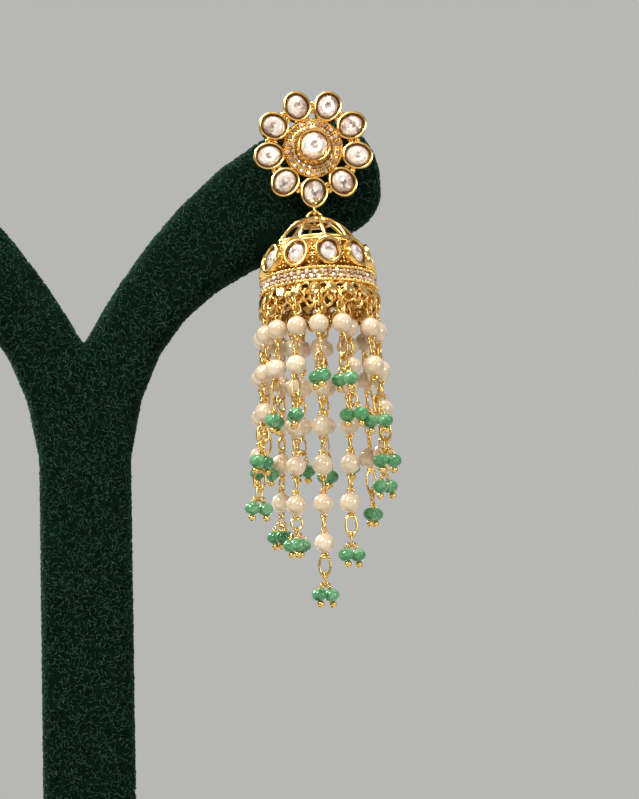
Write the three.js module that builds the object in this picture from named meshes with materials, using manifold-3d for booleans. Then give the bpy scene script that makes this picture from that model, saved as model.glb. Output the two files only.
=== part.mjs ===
// Jhumka earring hanging on a flocked Y-shaped display stand.
// Millimetres, +Z up. X runs to the right along the arms, the front faces -Y, and the
// origin is on the table, in the middle of the underside of the base.

import * as THREE from 'three';
import { mergeVertices } from 'three/addons/utils/BufferGeometryUtils.js';
import Module from 'manifold-3d';

const wasm = await Module();
wasm.setup();

// ---- driving dimensions -------------------------------------------------------------

const GAP = 0.3;                 // clearance between separate pieces

const STAND_THICK = 9;           // front to back of the flocked board
const STAND_EDGE = 2.5;          // rounding of its edges
const STEM_HALF = 7;
const NOTCH_Z = 101.5;           // bottom of the V between the arms
const ARMPIT_Z = 84;             // where the arms spring from the stem
const BASE_RADIUS = 33;
const BASE_HEIGHT = 8;
const BASE_EDGE = 2;
const SLOT_DEPTH = 4;            // the stem stands this deep in the base

const HANG_X = 36;               // the earring hangs under this point of the right arm
const HANG_Y = -9;
const FLOWER_Z = 131.3;
const FLOWER_BACK_Y = -7.6;
const PETALS = 9;
const PETAL_RING = 7.0;          // radius through the petal centres
const PETAL_WIDE = 4.35;
const PETAL_LONG = 4.9;
const PETAL_HIGH = 2.2;
const CUP_WALL = 0.35;
const CUP_FLOOR = 0.7;
const DISC_RADIUS = 4.7;         // plate that carries the pave ring
const DISC_HIGH = 1.9;
const CENTRE_RADIUS = 2.6;
const CENTRE_HIGH = 4.6;
const POST_RADIUS = 0.45;
const POST_END_Y = -1.2;

const WIRE = 0.225;              // radius of the round wire of loops and rings
const LOOP_RADIUS = 0.75;        // soldered eye under the flower
const LOOP_Z = 121.3;
const RING_RADIUS = 1.25;        // jump ring, to the middle of its wire
const BAR_Z = LOOP_Z - 2 * RING_RADIUS + 2 * WIRE + GAP;

const DOME_LEAN = THREE.MathUtils.degToRad(6);    // mouth tipped forward, against the arm
const DOME_ROLL = THREE.MathUtils.degToRad(2);    // left rim a little lower
const DOME_HIGH = 11.4;
const DOME_MOUTH = 8.35;         // outer radius of the wall at the rim
const DOME_WALL = 0.8;
const RIM_RADIUS = 9.1;
const CROWN_RADIUS = 2.6;
const RIBS = 10;                 // ribs, windows and stones all repeat this often
const RIB_HALF = 0.4;
const WINDOW_IN = 3.0;
const WINDOW_OUT = 6.1;
const STONE_TURN = THREE.MathUtils.degToRad(9);
const DOME_STONE_DEPTH = 6.5;    // below the crown, along the axis
const DOME_CUP_WIDE = 4.3;
const DOME_CUP_HIGH = 4.6;
const PAVE_TOP = 8.9;
const PAVE_BOTTOM = 11.0;
const LUG_LONG = 2.0;
const INNER_BAR_Z = 0.8 - DOME_HIGH;    // bar across the mouth that the inner strands hang on

const PEARL = 1.52;              // radius
const PITCH = 6.05;              // from pearl to pearl along a strand
const STRAND_WIRE = 0.3;
const GREEN = 1.2;               // radius of a green rondelle
const GREEN_SIDE = 1.12;         // half the distance between the two of a pair

// ---- materials ----------------------------------------------------------------------

function material(colour, roughness, metalness) {
  return new THREE.MeshStandardMaterial({ color: colour, roughness, metalness });
}

const flock = material(0x12392c, 0.95, 0);
const gold = material(0xd9a441, 0.22, 1);
const crystal = material(0xf1e4d8, 0.08, 0);
const pave = material(0xd8b48a, 0.25, 0.4);
const pearl = material(0xf0dcc0, 0.3, 0);

// ---- helpers ------------------------------------------------------------------------

const root = new THREE.Group();

function volume(geometry) {
  const at = geometry.getAttribute('position');
  const index = geometry.getIndex();
  const [a, b, c] = [new THREE.Vector3(), new THREE.Vector3(), new THREE.Vector3()];
  let sum = 0;
  for (let i = 0; i < index.count; i += 3) {
    a.fromBufferAttribute(at, index.getX(i));
    b.fromBufferAttribute(at, index.getX(i + 1));
    c.fromBufferAttribute(at, index.getX(i + 2));
    sum += a.dot(b.cross(c));
  }
  return sum;
}

// A closed three.js geometry as a solid, with its faces pointing out.
function solid(geometry) {
  let bare = geometry.clone();
  bare.deleteAttribute('normal');
  bare.deleteAttribute('uv');
  bare = mergeVertices(bare, 1e-4);
  const tri = Uint32Array.from(bare.getIndex().array);
  if (volume(bare) < 0) {
    for (let i = 0; i < tri.length; i += 3) {
      [tri[i], tri[i + 1]] = [tri[i + 1], tri[i]];
    }
  }
  const vert = Float32Array.from(bare.getAttribute('position').array);
  return new wasm.Manifold(new wasm.Mesh({ numProp: 3, vertProperties: vert, triVerts: tri }));
}

function union(parts) {
  return parts.reduce((whole, part) => whole.add(part));
}

function add(name, body, look, matrix = new THREE.Matrix4(), parent = root) {
  const mesh = body.getMesh();
  const geometry = new THREE.BufferGeometry();
  geometry.setAttribute('position', new THREE.BufferAttribute(mesh.vertProperties, 3));
  geometry.setIndex(new THREE.BufferAttribute(mesh.triVerts, 1));
  geometry.computeVertexNormals();
  const node = new THREE.Mesh(geometry, look);
  node.name = name;
  node.applyMatrix4(matrix);
  parent.add(node);
}

// Solid of revolution about Z from [radius, height] pairs.
function turned(profile, sides) {
  const points = profile.map(([radius, height]) => new THREE.Vector2(radius, height));
  return solid(new THREE.LatheGeometry(points, sides).rotateX(Math.PI / 2));
}

function ellipse(wide, high) {
  return new THREE.Shape().absellipse(0, 0, wide / 2, high / 2, 0, 2 * Math.PI);
}

// Elliptical prism standing on z = from, up to z = to.
function ellipticPrism(wide, high, from, to, matrix = new THREE.Matrix4()) {
  const options = { depth: to - from, bevelEnabled: false, curveSegments: 7 };
  const geometry = new THREE.ExtrudeGeometry(ellipse(wide, high), options);
  return solid(geometry.translate(0, 0, from).applyMatrix4(matrix));
}

function rod(radius, from, to, sides = 8) {
  const way = new THREE.Vector3().subVectors(to, from);
  const geometry = new THREE.CylinderGeometry(radius, radius, way.length(), sides);
  const turn = new THREE.Quaternion().setFromUnitVectors(
    new THREE.Vector3(0, 1, 0), way.clone().normalize());
  geometry.applyQuaternion(turn);
  const middle = new THREE.Vector3().addVectors(from, to).multiplyScalar(0.5);
  return solid(geometry.translate(middle.x, middle.y, middle.z));
}

// Faceted stone with its widest line at z = 0.
function gem(wide, high, below, above) {
  const profile = [[0, -below], [0.55, -below], [1, 0], [0.62, above], [0, above]];
  const points = profile.map(([radius, height]) => new THREE.Vector2(radius, height));
  const geometry = new THREE.LatheGeometry(points, 10).rotateX(Math.PI / 2);
  return solid(geometry.scale(wide / 2, high / 2, 1));
}

// ---- display stand ------------------------------------------------------------------

// One arm's outline from the notch out to the tip and back to the stem.
function armOutline(shape) {
  shape.bezierCurveTo(5.5, 112, 18, 131, 35, 137);
  shape.bezierCurveTo(41, 138.8, 47.4, 134.5, 47.1, 126);
  shape.bezierCurveTo(47, 121.5, 43.5, 119.7, 40, 118.6);
  shape.bezierCurveTo(24, 113.6, 9.5, 108, STEM_HALF, ARMPIT_Z);
}

function standBoard() {
  const foot = BASE_HEIGHT - SLOT_DEPTH + GAP;
  const half = new THREE.Shape();
  half.moveTo(0, NOTCH_Z);
  armOutline(half);
  half.lineTo(STEM_HALF, foot);
  const right = half.getPoints(7);
  const left = right.slice(1).reverse().map((p) => new THREE.Vector2(-p.x, p.y));
  const outline = new THREE.Shape([...right, ...left]);
  const board = new THREE.ExtrudeGeometry(outline, {
    depth: STAND_THICK - 2 * STAND_EDGE,
    bevelThickness: STAND_EDGE,
    bevelSize: STAND_EDGE,
    bevelOffset: -STAND_EDGE,
    bevelSegments: 2,
  });
  board.translate(0, 0, STAND_EDGE - STAND_THICK / 2).rotateX(Math.PI / 2);
  const hole = rod(POST_RADIUS + GAP,
    new THREE.Vector3(HANG_X, -STAND_THICK, FLOWER_Z),
    new THREE.Vector3(HANG_X, POST_END_Y + GAP, FLOWER_Z));
  add('stand_board', solid(board).subtract(hole), flock);
}

function standBase() {
  const edge = BASE_RADIUS - BASE_EDGE;
  const top = BASE_HEIGHT - BASE_EDGE;
  const corner = BASE_EDGE * Math.SQRT1_2;
  const disc = turned([
    [0, 0], [BASE_RADIUS - 0.6, 0], [BASE_RADIUS, 0.6], [BASE_RADIUS, top],
    [edge + corner, top + corner], [edge, BASE_HEIGHT], [0, BASE_HEIGHT],
  ], 48);
  const slot = new THREE.BoxGeometry(
    2 * (STEM_HALF + GAP), STAND_THICK + 2 * GAP, 2 * SLOT_DEPTH);
  slot.translate(0, 0, BASE_HEIGHT);
  add('stand_base', disc.subtract(solid(slot)), flock);
}

// ---- flower stud --------------------------------------------------------------------

// Frame of the flower: local z points out of its face, local y points up.
const flowerFrame = new THREE.Matrix4().makeTranslation(HANG_X, FLOWER_BACK_Y, FLOWER_Z)
  .multiply(new THREE.Matrix4().makeRotationX(Math.PI / 2));

// Petal i, counted from the one that points straight down; local y points outwards.
function petalFrame(i) {
  const turn = new THREE.Matrix4().makeRotationZ(Math.PI + (2 * Math.PI * i) / PETALS);
  return turn.multiply(new THREE.Matrix4().makeTranslation(0, PETAL_RING, 0));
}

function flowerSetting() {
  const pieces = [];
  const pockets = [];
  const joint = PETAL_RING * Math.cos(Math.PI / PETALS);
  for (let i = 0; i < PETALS; i += 1) {
    const at = petalFrame(i);
    pieces.push(ellipticPrism(PETAL_WIDE, PETAL_LONG, 0, PETAL_HIGH, at));
    pockets.push(ellipticPrism(PETAL_WIDE - 2 * CUP_WALL, PETAL_LONG - 2 * CUP_WALL,
      CUP_FLOOR, PETAL_HIGH + 1, at));
    const grain = new THREE.CylinderGeometry(0.45, 0.45, 1.4, 6).rotateX(Math.PI / 2);
    const turn = (2 * Math.PI * (i + 0.5)) / PETALS;
    pieces.push(solid(grain.translate(0, -joint, 0.7).rotateZ(turn)));
  }
  pieces.push(turned([
    [0, 0], [DISC_RADIUS, 0], [DISC_RADIUS, DISC_HIGH],
    [DISC_RADIUS - CUP_WALL, DISC_HIGH], [DISC_RADIUS - CUP_WALL, CUP_FLOOR],
    [CENTRE_RADIUS, CUP_FLOOR], [CENTRE_RADIUS, CENTRE_HIGH],
    [CENTRE_RADIUS - 0.3, CENTRE_HIGH], [CENTRE_RADIUS - 0.3, CENTRE_HIGH - 1.6],
    [0, CENTRE_HIGH - 1.6],
  ], 24));
  const eye = new THREE.TorusGeometry(LOOP_RADIUS, WIRE, 6, 16).rotateY(Math.PI / 2);
  eye.translate(0, LOOP_Z - FLOWER_Z, FLOWER_BACK_Y - HANG_Y);
  const neck = new THREE.BoxGeometry(0.8, 0.9, 0.7);
  neck.translate(0, LOOP_Z - FLOWER_Z + LOOP_RADIUS + 0.25, FLOWER_BACK_Y - HANG_Y);
  const post = rod(POST_RADIUS, new THREE.Vector3(0, 0, FLOWER_BACK_Y - POST_END_Y),
    new THREE.Vector3(0, 0, 0.4));
  pieces.push(solid(eye), solid(neck), post);
  const body = pockets.reduce((whole, pocket) => whole.subtract(pocket), union(pieces));
  add('flower_setting', body, gold, flowerFrame);
}

function flowerStones() {
  const lift = new THREE.Matrix4().makeTranslation(0, 0, CUP_FLOOR + GAP + 0.6);
  for (let i = 0; i < PETALS; i += 1) {
    const stone = gem(PETAL_WIDE - 2 * CUP_WALL - 2 * GAP, PETAL_LONG - 2 * CUP_WALL - 2 * GAP,
      0.6, 0.6);
    const at = flowerFrame.clone().multiply(petalFrame(i)).multiply(lift);
    add(`petal_stone_${i + 1}`, stone, crystal, at);
  }
  const rise = new THREE.Matrix4().makeTranslation(0, 0, CENTRE_HIGH - 1.6 + GAP + 0.6);
  const wide = 2 * (CENTRE_RADIUS - 0.3 - GAP);
  add('center_stone', gem(wide, wide, 0.6, 0.9), crystal, flowerFrame.clone().multiply(rise));
}

function flowerPaveRing() {
  const inside = CENTRE_RADIUS + GAP;
  const outside = DISC_RADIUS - CUP_WALL - GAP;
  const low = CUP_FLOOR + GAP;
  const ring = turned([
    [inside, low], [outside, low], [outside, 1.7], [inside, 2.4], [inside, low],
  ], 24);
  add('flower_pave_ring', ring, pave, flowerFrame);
}

// ---- jump ring ----------------------------------------------------------------------

function jumpRing() {
  const ring = new THREE.TorusGeometry(RING_RADIUS, WIRE, 6, 20).rotateX(Math.PI / 2);
  const at = new THREE.Matrix4().makeTranslation(HANG_X, HANG_Y, LOOP_Z - RING_RADIUS);
  add('jump_ring', solid(ring), gold, at);
}

// ---- dome ---------------------------------------------------------------------------

// Frame of the dome: origin on its hanging bar, mouth towards local -z.
const domeFrame = new THREE.Matrix4().makeTranslation(HANG_X, HANG_Y, BAR_Z)
  .multiply(new THREE.Matrix4().makeRotationY(-DOME_ROLL))
  .multiply(new THREE.Matrix4().makeRotationX(-DOME_LEAN));

const domeLine = new THREE.CubicBezierCurve(
  new THREE.Vector2(CROWN_RADIUS, 0.2), new THREE.Vector2(5.4, -1.0),
  new THREE.Vector2(8.0, -4.8), new THREE.Vector2(DOME_MOUTH, -DOME_HIGH));

// Wall of the dome as a closed profile: outer line down, inner line back up.
function domeWall() {
  const steps = 6;
  const outer = [];
  const inner = [];
  for (let i = 0; i <= steps; i += 1) {
    const at = domeLine.getPoint(i / steps);
    const along = domeLine.getTangent(i / steps);
    outer.push([at.x, at.y]);
    inner.push([at.x + along.y * DOME_WALL, at.y - along.x * DOME_WALL]);
  }
  const profile = [...outer, ...inner.reverse(), outer[0]];
  return turned(profile, 30);
}

function ridge(radius, top, bottom) {
  const inside = DOME_MOUTH - 0.5;
  return turned([
    [inside, -bottom], [radius, -bottom], [radius, -top], [inside, -top], [inside, -bottom],
  ], 30);
}

// Opening between two ribs, cut straight down through the top of the wall.
function domeWindow(i) {
  const step = (2 * Math.PI) / RIBS;
  const inHalf = step / 2 - RIB_HALF / WINDOW_IN;
  const outHalf = step / 2 - RIB_HALF / WINDOW_OUT;
  const shape = new THREE.Shape();
  shape.absarc(0, 0, WINDOW_OUT, -outHalf, outHalf, false);
  shape.absarc(0, 0, WINDOW_IN, inHalf, -inHalf, true);
  const prism = new THREE.ExtrudeGeometry(shape, { depth: 7, bevelEnabled: false, curveSegments: 3 });
  return solid(prism.translate(0, 0, -6).rotateZ(STONE_TURN - Math.PI / 2 + step * (i + 0.5)));
}

// Frame on the wall for stone i: local z points out of the wall, local y points up it.
function stoneFrame(i) {
  let t = 0;
  while (domeLine.getPoint(t).y > -DOME_STONE_DEPTH) {
    t += 0.002;
  }
  const at = domeLine.getPoint(t);
  const along = domeLine.getTangent(t);
  const slope = Math.atan2(along.x, -along.y);
  const turn = new THREE.Matrix4().makeRotationZ(STONE_TURN + (2 * Math.PI * i) / RIBS);
  return turn.multiply(new THREE.Matrix4().makeTranslation(0, -at.x, at.y))
    .multiply(new THREE.Matrix4().makeRotationX(Math.PI / 2 - slope));
}

function rimLug(i) {
  const lug = new THREE.CylinderGeometry(0.75, 0.3, LUG_LONG, 4).rotateX(Math.PI / 2);
  const turn = (2 * Math.PI * i) / (2 * RIBS);
  return solid(lug.translate(0, -DOME_MOUTH, -DOME_HIGH - LUG_LONG / 2 + 0.2).rotateZ(turn));
}

function domeCage() {
  const pieces = [domeWall()];
  pieces.push(turned([
    [CROWN_RADIUS - 0.7, -0.45], [CROWN_RADIUS + 0.2, -0.45], [CROWN_RADIUS + 0.2, 0.35],
    [CROWN_RADIUS - 0.7, 0.35], [CROWN_RADIUS - 0.7, -0.45],
  ], 20));
  pieces.push(ridge(RIM_RADIUS - 0.1, PAVE_TOP - 0.35, PAVE_TOP));
  pieces.push(ridge(RIM_RADIUS, PAVE_BOTTOM, DOME_HIGH));
  pieces.push(turned([
    [6.1, -3.95], [6.95, -3.95], [6.95, -3.35], [6.1, -3.35], [6.1, -3.95],
  ], 40));
  for (let i = 0; i < 2 * RIBS; i += 1) {
    pieces.push(rimLug(i));
  }
  for (let i = 0; i < RIBS; i += 1) {
    pieces.push(ellipticPrism(DOME_CUP_WIDE, DOME_CUP_HIGH, -0.4, 0.75, stoneFrame(i)));
  }
  let body = union(pieces);
  for (let i = 0; i < RIBS; i += 1) {
    body = body.subtract(domeWindow(i));
    body = body.subtract(ellipticPrism(DOME_CUP_WIDE - 2 * CUP_WALL,
      DOME_CUP_HIGH - 2 * CUP_WALL, -0.3, 2, stoneFrame(i)));
  }
  const crown = CROWN_RADIUS - 0.4;
  const hangBar = rod(WIRE, new THREE.Vector3(0, -crown, 0), new THREE.Vector3(0, crown, 0));
  const reach = DOME_MOUTH - 0.4;
  const innerBar = rod(0.35, new THREE.Vector3(-reach, 0, INNER_BAR_Z),
    new THREE.Vector3(reach, 0, INNER_BAR_Z));
  add('dome_cage', union([body, hangBar, innerBar]), gold, domeFrame);
}

function domeStones() {
  const wide = DOME_CUP_WIDE - 2 * CUP_WALL - 2 * GAP;
  const high = DOME_CUP_HIGH - 2 * CUP_WALL - 2 * GAP;
  const lift = new THREE.Matrix4().makeTranslation(0, 0, 0.35);
  for (let i = 0; i < RIBS; i += 1) {
    const at = domeFrame.clone().multiply(stoneFrame(i)).multiply(lift);
    add(`dome_stone_${i + 1}`, gem(wide, high, 0.35, 0.45), crystal, at);
  }
}

function domePaveBand() {
  const inside = DOME_MOUTH + GAP;
  const outside = RIM_RADIUS + 0.1;
  const top = -PAVE_TOP - GAP;
  const bottom = -PAVE_BOTTOM + GAP;
  const band = turned([
    [inside, bottom], [outside, bottom], [outside, top], [inside, top], [inside, bottom],
  ], 30);
  add('dome_pave_band', band, pave, domeFrame);
}

// ---- bead strands -------------------------------------------------------------------

// angle: place round the rim in degrees from the front, to the right positive.
// inset: how far inside its neighbours the strand hangs.
// pearls: how many; tail: from the last pearl to the green beads; greens: how many.
const RIM_STRANDS = [
  { angle: -5, inset: 0, pearls: 1, tail: 8.3, greens: 2 },
  { angle: 17.5, inset: 0, pearls: 1, tail: 8.8, greens: 2 },
  { angle: 36, inset: 2.3, pearls: 2, tail: 7.5, greens: 2 },
  { angle: 55, inset: 0, pearls: 2, tail: 8.6, greens: 2 },
  { angle: 79, inset: 0, pearls: 3, tail: 8.0, greens: 2 },
  { angle: 102.5, inset: 0, pearls: 4, tail: 5.2, greens: 2 },
  { angle: 126, inset: 0, pearls: 4, tail: 8.8, greens: 2 },
  { angle: 149, inset: 0, pearls: 3, tail: 7.0, greens: 2 },
  { angle: 172, inset: 0, pearls: 3, tail: 8.0, greens: 2 },
  { angle: -165, inset: 0, pearls: 3, tail: 7.0, greens: 2 },
  { angle: -142, inset: 0, pearls: 5, tail: 5.4, greens: 3 },
  { angle: -119, inset: 0, pearls: 3, tail: 8.0, greens: 2 },
  { angle: -96, inset: 0, pearls: 4, tail: 8.0, greens: 2 },
  { angle: -73, inset: 0, pearls: 3, tail: 7.6, greens: 2 },
  { angle: -50, inset: 0, pearls: 2, tail: 8.2, greens: 2 },
  { angle: -27.5, inset: 0, pearls: 2, tail: 7.9, greens: 2 },
];
// side: place along the inner bar.
const INNER_STRANDS = [
  { side: -4.1, pearls: 5, tail: 6.2, greens: 3 },
  { side: 0.1, pearls: 6, tail: 8.0, greens: 2 },
  { side: 4.3, pearls: 5, tail: 8.1, greens: 2 },
];
const STRAND_RING = 8.7;         // radius of the circle that the strand tops stand on
const FLARE = 1.3;               // each rim strand's foot stands this much further out
const FIRST_PEARL = 4.6;         // from the lug down to the first pearl
const INNER_FIRST = 8.6;         // from the inner bar down to the first pearl
const PAIR_TURN = THREE.MathUtils.degToRad(30);

// One green rondelle on its ball-headed pin, hung beside the thread.
function greenBead(turn) {
  const profile = [
    [0, -2.3], [0.6, -1.85], [0.4, -1.2], [GREEN, -0.3], [GREEN, 0.4], [0, 1.2],
  ];
  const points = profile.map(([radius, height]) => new THREE.Vector2(radius, height));
  const geometry = new THREE.LatheGeometry(points, 6).rotateX(Math.PI / 2);
  return solid(geometry.translate(GREEN_SIDE, 0, 0).rotateZ(turn));
}

function strandLength(row, first) {
  return first + PITCH * (row.pearls - 1) + row.tail;
}

// A strand as one solid, with its top at the origin.
function strand(row, first) {
  const foot = -strandLength(row, first);
  const profile = [[0, 0], [STRAND_WIRE, 0]];
  for (let i = 0; i < row.pearls; i += 1) {
    const middle = -first - PITCH * i;
    profile.push([STRAND_WIRE, middle + PEARL]);
    profile.push([PEARL, middle + 0.4 * PEARL]);
    profile.push([PEARL, middle - 0.4 * PEARL]);
    profile.push([STRAND_WIRE, middle - PEARL]);
  }
  profile.push([STRAND_WIRE, foot], [0, foot]);
  const pieces = [turned(profile, 6)];
  for (let i = 0; i < row.greens; i += 1) {
    const turn = PAIR_TURN + (2 * Math.PI * i) / row.greens;
    pieces.push(greenBead(turn).translate([0, 0, foot]));
  }
  return union(pieces);
}

function rimStrand(row, i) {
  const turn = THREE.MathUtils.degToRad(row.angle);
  const radius = STRAND_RING - row.inset;
  const top = new THREE.Vector3(
    radius * Math.sin(turn), -radius * Math.cos(turn), -DOME_HIGH - LUG_LONG + 0.2);
  top.applyMatrix4(domeFrame);
  const lean = Math.asin(FLARE / strandLength(row, FIRST_PEARL));
  const at = new THREE.Matrix4().makeTranslation(top.x, top.y, top.z - GAP)
    .multiply(new THREE.Matrix4().makeRotationZ(turn - Math.PI / 2))
    .multiply(new THREE.Matrix4().makeRotationY(-lean));
  add(`rim_strand_${i + 1}`, strand(row, FIRST_PEARL), pearl, at);
}

function innerStrand(row, i) {
  const top = new THREE.Vector3(row.side, 0, INNER_BAR_Z - 0.35);
  top.applyMatrix4(domeFrame);
  const at = new THREE.Matrix4().makeTranslation(top.x, top.y, top.z - GAP);
  add(`inner_strand_${i + 1}`, strand(row, INNER_FIRST), pearl, at);
}

function strands() {
  RIM_STRANDS.forEach(rimStrand);
  INNER_STRANDS.forEach(innerStrand);
}

standBoard();
standBase();
flowerSetting();
flowerStones();
flowerPaveRing();
jumpRing();
domeCage();
domeStones();
domePaveBand();
strands();

export default root;
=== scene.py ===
"""Jhumka earring on a flocked display stand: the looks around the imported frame."""

import math
import random

import bpy
from mathutils import Matrix, Vector


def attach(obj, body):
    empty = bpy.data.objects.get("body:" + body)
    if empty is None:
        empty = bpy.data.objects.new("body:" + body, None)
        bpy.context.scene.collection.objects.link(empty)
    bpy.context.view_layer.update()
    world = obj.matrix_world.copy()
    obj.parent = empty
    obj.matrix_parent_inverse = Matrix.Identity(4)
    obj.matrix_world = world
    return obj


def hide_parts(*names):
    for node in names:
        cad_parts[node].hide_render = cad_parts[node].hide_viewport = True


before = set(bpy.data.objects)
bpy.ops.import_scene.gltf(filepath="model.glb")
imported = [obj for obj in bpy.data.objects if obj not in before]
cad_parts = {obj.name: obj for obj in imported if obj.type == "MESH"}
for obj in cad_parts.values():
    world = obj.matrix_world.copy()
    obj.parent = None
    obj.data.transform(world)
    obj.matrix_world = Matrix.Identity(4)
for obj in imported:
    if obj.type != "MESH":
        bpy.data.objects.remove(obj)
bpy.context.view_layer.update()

TAU = 2 * math.pi
MM = Matrix.Scale(0.001, 4)      # pieces are modelled in millimetres, then settled in metres
HERE = Matrix.Identity(4)

# ---- driving dimensions that repeat the frame's, in millimetres ----------------------

GAP = 0.3                        # clearance between separate pieces
HANG_X, HANG_Y = 36.0, -9.0
FLOWER_Z = 131.3
FLOWER_BACK_Y = -7.6
PETALS, PETAL_RING = 9, 7.0
PETAL_WIDE, PETAL_LONG, PETAL_HIGH = 4.35, 4.9, 2.2
DISC_RADIUS, DISC_HIGH = 4.7, 1.9
CENTRE_RADIUS, CENTRE_HIGH = 2.6, 4.6
POST_RADIUS, POST_END_Y = 0.45, -1.2
WIRE = 0.225
LOOP_Z, LOOP_RADIUS = 121.3, 0.75
RING_RADIUS = 1.25
BAR_Z = LOOP_Z - 2 * RING_RADIUS + 2 * WIRE + GAP
DOME_LEAN, DOME_ROLL = math.radians(6), math.radians(2)
DOME_HIGH, DOME_MOUTH, RIM_RADIUS = 11.4, 8.35, 9.1
CROWN_RADIUS = 2.6
RIBS = 10
STONE_TURN = math.radians(9)
LUG_LONG = 2.0
INNER_BAR_Z = 0.8 - DOME_HIGH
PITCH = 6.05                     # from pearl to pearl along a strand
GREEN_SIDE = 1.12                # from the thread out to a green bead's middle
STRAND_RING, FLARE = 8.7, 1.3
FIRST_PEARL, INNER_FIRST = 4.6, 8.6
PAIR_TURN = math.radians(30)

# angle round the rim in degrees, inset, pearls, tail to the green beads, green beads
RIM_STRANDS = [
    (-5, 0, 1, 8.3, 2), (17.5, 0, 1, 8.8, 2), (36, 2.3, 2, 7.5, 2), (55, 0, 2, 8.6, 2),
    (79, 0, 3, 8.0, 2), (102.5, 0, 4, 5.2, 2), (126, 0, 4, 8.8, 2), (149, 0, 3, 7.0, 2),
    (172, 0, 3, 8.0, 2), (-165, 0, 3, 7.0, 2), (-142, 0, 5, 5.4, 3), (-119, 0, 3, 8.0, 2),
    (-96, 0, 4, 8.0, 2), (-73, 0, 3, 7.6, 2), (-50, 0, 2, 8.2, 2), (-27.5, 0, 2, 7.9, 2),
]
# place along the inner bar, pearls, tail, green beads
INNER_STRANDS = [(-4.1, 5, 6.2, 3), (0.1, 6, 8.0, 2), (4.3, 5, 8.1, 2)]

# ---- sizes of the looks, in millimetres, near the frame's but not the same -----------

PEARL = 1.6                      # radius
GREEN = 1.22                     # radius of a green rondelle
RING_INSET, RING_WIRE = 0.06, WIRE + 0.07
EYE_OUTSET, EYE_WIRE = 0.03, WIRE + 0.1
DOME_STONE_DEPTH = 6.7           # from the crown down to the middle of the dome's cups
DOME_CUP_WIDE, DOME_CUP_LONG, DOME_CUP_HIGH = 4.2, 4.9, 1.0
PAVE_TOP, PAVE_BOTTOM = 9.5, 11.1
PAVE_ROW = 0.76                  # from one row of the dome's paved stones to the next
WALL_TOP, WALL_THICK = 3.4, 0.7
RIB_FOOT, RIB_WIRE = 3.9, 0.3
CHAIN_PITCH, CHAIN_WIRE = 1.35, 0.19
BEAD_EYE, BEAD_EYE_WIRE = 0.44, 0.18

# wide, long, depth under the girdle, girdle, height of the crown, sides
PETAL_CUT = (3.35, 3.9, 0.4, 0.12, 0.8, 11)
CENTRE_CUT = (4.3, 4.3, 0.5, 0.15, 1.0, 14)
DOME_CUT = (2.75, 3.4, 0.3, 0.1, 0.5, 10)
LEAF_CUT = (2.0, 2.9, 0.15, 0.14, 0.35, 12)

# ---- the flock's fibres, in metres ---------------------------------------------------

FIBRES = 3.0e6                   # to a square metre
BASE_SHARE = 0.55                # how dense the base's fibres are beside the board's
ARM_FOOT_Z, STEM_FOOT_Z, BASE_FOOT_Z = 0.084, 0.009, 0.0012
# the strip of the arm that the dome swings past
SWING_LEFT, SWING_RIGHT, SWING_FRONT, SWING_TOP = 0.027, 0.045, -0.0015, 0.119

# ---- light and camera ----------------------------------------------------------------

FRONT_GLOW, BACK_GLOW = 0.32, 0.5
SUN = 0.8
LAMP_TARGET = (0.03, 0, 0.10)
CAMERA_TARGET, CAMERA_FAR, CAMERA_LENS = (0.0363, -0.008, 0.092), 0.6, 174.4
# name, place and width in metres, watts, colour
LAMPS = [
    ("key", (-0.30, -0.36, 0.44), 0.12, 2.3, (1.0, 0.95, 0.86)),
    ("top", (0.06, -0.10, 0.60), 0.14, 2.0, (1.0, 0.97, 0.92)),
    ("rim", (-0.30, 0.26, 0.42), 0.16, 4.5, (1.0, 1.0, 1.0)),
    ("fill", (0.44, -0.32, 0.16), 0.22, 0.7, (1.0, 0.93, 0.84)),
    ("sparkle", (0.12, -0.56, 0.24), 0.04, 0.4, (1.0, 0.97, 0.93)),
]

chance = random.Random(7)


# ---- materials ----------------------------------------------------------------------

def new_material(name):
    mat = bpy.data.materials.new(name)
    mat.use_nodes = True
    tree = mat.node_tree
    return mat, tree, tree.nodes["Principled BSDF"]


def noise(tree, scale, detail=4.0, rough=0.55, distortion=0.0):
    coords = tree.nodes.new("ShaderNodeTexCoord")
    node = tree.nodes.new("ShaderNodeTexNoise")
    node.inputs["Scale"].default_value = scale
    node.inputs["Detail"].default_value = detail
    node.inputs["Roughness"].default_value = rough
    node.inputs["Distortion"].default_value = distortion
    tree.links.new(coords.outputs["Object"], node.inputs["Vector"])
    return node.outputs["Fac"]


def ramp(tree, source, *stops):
    node = tree.nodes.new("ShaderNodeValToRGB")
    band = node.color_ramp
    while len(band.elements) < len(stops):
        band.elements.new(0.5)
    for element, (place, colour) in zip(band.elements, stops):
        element.position = place
        element.color = (*colour, 1)
    tree.links.new(source, node.inputs["Fac"])
    return node.outputs["Color"]


def spread(tree, source, low, high):
    node = tree.nodes.new("ShaderNodeMapRange")
    node.inputs["To Min"].default_value = low
    node.inputs["To Max"].default_value = high
    tree.links.new(source, node.inputs["Value"])
    return node.outputs["Result"]


def bump(tree, source, shader, strength, distance):
    node = tree.nodes.new("ShaderNodeBump")
    node.inputs["Strength"].default_value = strength
    node.inputs["Distance"].default_value = distance
    tree.links.new(source, node.inputs["Height"])
    tree.links.new(node.outputs["Normal"], shader.inputs["Normal"])


def gold_material(name, deep, light, rough):
    mat, tree, shader = new_material(name)
    shader.inputs["Metallic"].default_value = 1.0
    tint = noise(tree, 900, 3)
    tree.links.new(ramp(tree, tint, (0.35, deep), (0.65, light)), shader.inputs["Base Color"])
    tree.links.new(spread(tree, noise(tree, 2600, 5), rough - 0.06, rough + 0.10),
                   shader.inputs["Roughness"])
    bump(tree, noise(tree, 4200, 4), shader, 0.12, 0.00006)
    return mat


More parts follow.
